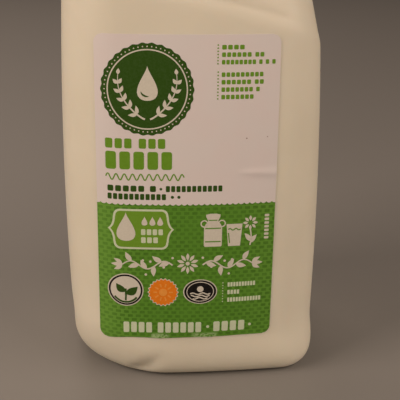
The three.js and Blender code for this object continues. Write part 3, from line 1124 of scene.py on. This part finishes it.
class LabelSettings(bpy.types.PropertyGroup):
    back: length_choice("Back", "Gap between the jug and the label's back", 0.00008)
    thickness: length_choice("Thickness", "Of the label's film", 0.0002)
    cell: length_choice("Cell", "Size of the label mesh's quads", 0.0007)
    ink: length_choice("Ink", "Thickness of one layer of ink", 0.000045, 6)
    green_top: length_choice("Green height", "Of the green field over the label's foot", 0.060)
    tooth_pitch: length_choice("Tooth pitch", "Of the green field's scalloped edge", 0.00231)
    tooth_height: length_choice("Tooth height", "Of the green field's scalloped edge", 0.00062)
    white: colour_choice("White", "Colour of the upper field", (0.80, 0.76, 0.75))
    white_rosy: colour_choice("Rosy white", "Slow change of the upper field", (0.81, 0.75, 0.74))
    green: colour_choice("Green", "Colour of the lower field", (0.110, 0.30, 0.026))
    green_bright: colour_choice("Bright green", "The lower field's sides", (0.168, 0.39, 0.050))
    green_dash: colour_choice("Dash green", "Dashes in the lower field", (0.066, 0.195, 0.013))
    green_pale: colour_choice("Pale green", "Mottling of the lower field", (0.145, 0.35, 0.045))
    speck: colour_choice("Speck", "Colour of the specks of dirt", (0.20, 0.09, 0.06))
    rubbed: colour_choice("Rubbed green", "Ink that is rubbed at the foot", (0.36, 0.55, 0.24))


class PrintSettings(bpy.types.PropertyGroup):
    dark: colour_choice("Dark green", "Ink of the medallion", (0.031, 0.088, 0.0065))
    mid: colour_choice("Mid green", "Ink of the headline", (0.15, 0.33, 0.022))
    pale: colour_choice("Pale green", "Ink of the plaque", (0.168, 0.354, 0.027))
    cream: colour_choice("Cream", "Bare film left in the green field", (0.705, 0.685, 0.59))
    straw: colour_choice("Straw", "Film under fine lines in the green field", (0.66, 0.76, 0.55))
    field: colour_choice("Field green", "Lines on the cream figures", (0.110, 0.30, 0.026))
    orange: colour_choice("Orange", "Ink of the sunburst", (0.86, 0.24, 0.012))
    amber: colour_choice("Amber", "Ink of the sun in the sunburst", (0.90, 0.36, 0.06))
    black: colour_choice("Black", "Ink of the seals' rings and the oval", (0.006, 0.005, 0.004))


class CapSettings(bpy.types.PropertyGroup):
    knurls: IntProperty(name="Ribs", description="Number of grip ribs", default=72, min=12)
    rib_depth: length_choice("Rib depth", "Of the grip", 0.0005)
    colour: colour_choice("Colour", "Base colour of the cap", (0.12, 0.30, 0.045))
    pale: colour_choice("Paler colour", "Slow change of the cap's colour", (0.14, 0.33, 0.055))


class StageSettings(bpy.types.PropertyGroup):
    floor: colour_choice("Floor", "Colour of the floor", (0.262, 0.255, 0.243))
    light: colour_choice("Light", "Tint of the lights", (1.0, 0.80, 0.66))
    key_power: power_choice("Key light", "Power of the key light, in watts", 10.5)
    fill_power: power_choice("Fill light", "Power of the fill light, in watts", 8.9)
    back_power: power_choice("Back light", "Power of the light behind, in watts", 4.0)
    front_power: power_choice("Front light", "Power of the front light, in watts", 2.75)
    sky: power_choice("Surroundings", "Brightness of the surroundings", 0.112)


# The pieces

class JUG_OT_body(bpy.types.Operator):
    """Build the moulded jug with its handle and neck"""

    bl_idname = "milk_jug.body"
    bl_label = "Jug"

    def execute(self, context):
        settings = context.scene.milk_jug_body
        look = milky_plastic(settings)
        cell = settings.cell / MM
        vertices, faces = skin(jug_field, BODY_LOW, BODY_HIGH, cell)
        vertices = settle(jug_field, vertices, faces)
        made = mesh_object("jug_body", vertices, faces, look)
        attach(made, "root")
        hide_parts("jug")
        vertices, faces = parting_bead(PARTING_LOW, PARTING_HIGH)
        made = mesh_object("parting_line", vertices, faces, look)
        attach(made, "root")
        vertices, faces = lathe(NECK_RING, 96)
        made = mesh_object("neck_ring", vertices, faces, look)
        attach(made, "root")
        return {"FINISHED"}


class JUG_OT_label(bpy.types.Operator):
    """Build the label's printed film"""

    bl_idname = "milk_jug.label"
    bl_label = "Label"

    def execute(self, context):
        settings = context.scene.milk_jug_label
        look = label_film(settings)
        vertices, faces = label_sheet(settings)
        made = mesh_object("label_film", vertices, faces, look, 40)
        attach(made, "root")
        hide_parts("label")
        return {"FINISHED"}


class JUG_OT_print(bpy.types.Operator):
    """Build the label's print, one piece for each ink"""

    bl_idname = "milk_jug.print"
    bl_label = "Print"

    def execute(self, context):
        settings = context.scene.milk_jug_label
        colours = context.scene.milk_jug_print
        ink = {name: Ink() for name in INKS}
        for design in (medallion, upper_words, plaque, dairy, garland, seals, lower_words):
            design(ink)
        for name in INKS:
            look = printed_ink("ink_" + name, getattr(colours, name))
            ink[name].build("print_" + name, settings, look)
        return {"FINISHED"}


class JUG_OT_cap(bpy.types.Operator):
    """Build the ribbed screw cap with its tamper band"""

    bl_idname = "milk_jug.cap"
    bl_label = "Cap"

    def execute(self, context):
        settings = context.scene.milk_jug_cap
        look = cap_plastic(settings)
        knurls, depth = settings.knurls, settings.rib_depth / MM

        def ribs(angle, height):
            within = smooth((height - RIBS_LOW) / RIBS_FADE)
            within = within * smooth((RIBS_HIGH - height) / RIBS_FADE)
            wave = np.abs(np.sin(angle * knurls / 2))
            return -depth * within * (1 - wave) ** 1.5

        vertices, faces = lathe(CAP_PROFILE, knurls * 6, ribs)
        made = mesh_object("screw_cap", vertices, faces, look, 50)
        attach(made, "root")
        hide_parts("cap")
        return {"FINISHED"}


class JUG_OT_stage(bpy.types.Operator):
    """Build the floor, the lights and the camera"""

    bl_idname = "milk_jug.stage"
    bl_label = "Stage"

    def execute(self, context):
        settings = context.scene.milk_jug_stage
        finish = Finish("pale_floor")
        place, _ = finish.axes()
        cloud = finish.noise(place, 300.0, 2.0)
        tone = tuple(0.97 * v for v in settings.floor)
        colour = finish.colours(cloud, rgb(settings.floor), rgb(tone))
        look = finish.surface(colour, 0.6)
        half = FLOOR_HALF / MM
        vertices = [(-half, -half, 0), (half, -half, 0), (half, half, 0), (-half, half, 0)]
        floor = mesh_object("floor", vertices, [(0, 1, 2, 3)], look)

        for name, (place, width) in LIGHTS.items():
            data = bpy.data.lights.new(name, "AREA")
            data.size = width
            data.energy = getattr(settings, name + "_power")
            data.color = settings.light
            lamp = bpy.data.objects.new(name, data)
            lamp.location = place
            aim = Vector(LIGHTS_AIM) - Vector(place)
            lamp.rotation_euler = aim.to_track_quat("-Z", "Y").to_euler()
            context.scene.collection.objects.link(lamp)

        world = bpy.data.worlds.new("surroundings")
        world.use_nodes = True
        shade = world.node_tree.nodes["Background"]
        shade.inputs["Color"].default_value = rgb(settings.light)
        shade.inputs["Strength"].default_value = settings.sky
        context.scene.world = world

        data = bpy.data.cameras.new("view")
        data.sensor_fit = "HORIZONTAL"
        data.sensor_width = SENSOR_WIDTH
        data.lens = SENSOR_WIDTH * FOCAL_PIXELS / PHOTO_PIXELS
        data.clip_end = 20.0
        view = bpy.data.objects.new("view", data)
        ahead, right = Vector(CAMERA_AHEAD), Vector(CAMERA_RIGHT)
        turn = Matrix((right, right.cross(ahead), -ahead)).transposed()
        view.matrix_world = Matrix.Translation(CAMERA_PLACE) @ turn.to_4x4()
        context.scene.collection.objects.link(view)
        context.scene.camera = view
        context.scene.view_settings.view_transform = "Standard"
        return {"FINISHED"}


class JUG_PT_panel(bpy.types.Panel):
    """The jug's pieces in the sidebar"""

    bl_idname = "JUG_PT_panel"
    bl_label = "Milk Jug"
    bl_space_type = "VIEW_3D"
    bl_region_type = "UI"
    bl_category = "Milk Jug"

    def draw(self, context):
        column = self.layout.column()
        for operator, group in STEPS:
            column.operator(operator.bl_idname)
            values = getattr(context.scene, group)
            for name in values.bl_rna.properties.keys():
                if name not in ("rna_type", "name"):
                    column.prop(values, name)


STEPS = (
    (JUG_OT_stage, "milk_jug_stage"),
    (JUG_OT_body, "milk_jug_body"),
    (JUG_OT_label, "milk_jug_label"),
    (JUG_OT_print, "milk_jug_print"),
    (JUG_OT_cap, "milk_jug_cap"),
)
GROUPS = {
    "milk_jug_stage": StageSettings,
    "milk_jug_body": JugSettings,
    "milk_jug_label": LabelSettings,
    "milk_jug_print": PrintSettings,
    "milk_jug_cap": CapSettings,
}


def register():
    for name, group in GROUPS.items():
        bpy.utils.register_class(group)
        setattr(bpy.types.Scene, name, PointerProperty(type=group))
    for operator, _ in STEPS:
        bpy.utils.register_class(operator)
    bpy.utils.register_class(JUG_PT_panel)


def unregister():
    bpy.utils.unregister_class(JUG_PT_panel)
    for operator, _ in reversed(STEPS):
        bpy.utils.unregister_class(operator)
    for name, group in reversed(list(GROUPS.items())):
        delattr(bpy.types.Scene, name)
        bpy.utils.unregister_class(group)


def main():
    register()
    bpy.ops.milk_jug.stage()
    bpy.ops.milk_jug.body()
    bpy.ops.milk_jug.label()
    bpy.ops.milk_jug.print()
    bpy.ops.milk_jug.cap()


if __name__ == "__main__":
    main()
